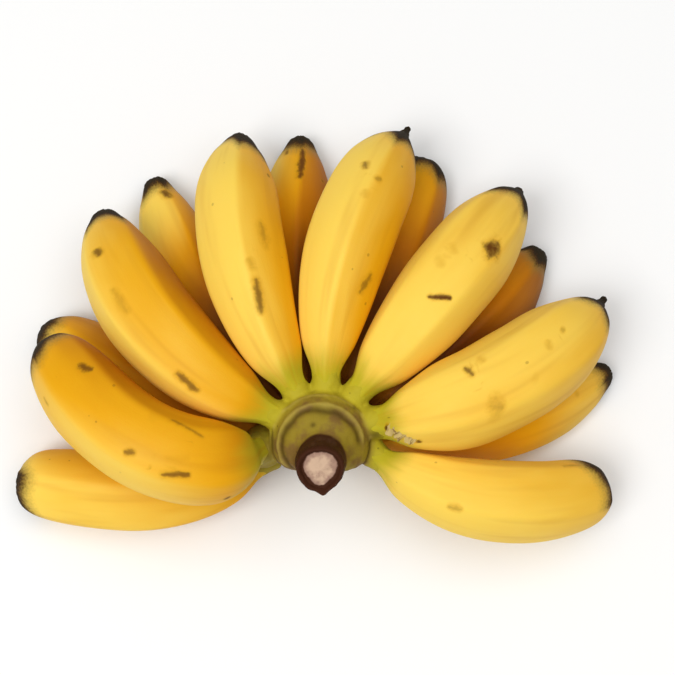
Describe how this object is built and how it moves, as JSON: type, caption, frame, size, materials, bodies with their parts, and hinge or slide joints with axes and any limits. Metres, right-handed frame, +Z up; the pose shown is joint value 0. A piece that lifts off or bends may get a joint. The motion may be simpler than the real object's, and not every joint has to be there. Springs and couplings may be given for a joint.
{
  "type": "hand of bananas",
  "caption": "Hand of small yellow dessert bananas in two rows, joined to an olive crown with a short cut stalk and lying with its domed side up",
  "frame": {"origin": "on the surface that the hand lies on, under the middle of its bounding box", "axes": "+Z up; -Y the front, where the stalk is bare; the bananas fan out from the crown to both sides along X and back along +Y"},
  "size_m": [0.239, 0.1706, 0.0764],
  "materials": {
    "peel": "satin",
    "crown": "matte"
  },
  "bodies": {
    "root": {"crown": "crown", "banana_01": "peel", "banana_02": "peel", "banana_03": "peel", "banana_04": "peel", "banana_05": "peel", "banana_06": "peel", "banana_07": "peel", "banana_08": "peel", "banana_09": "peel", "banana_10": "peel", "banana_11": "peel", "banana_12": "peel", "banana_13": "peel", "banana_14": "peel"}
  },
  "joints": []
}
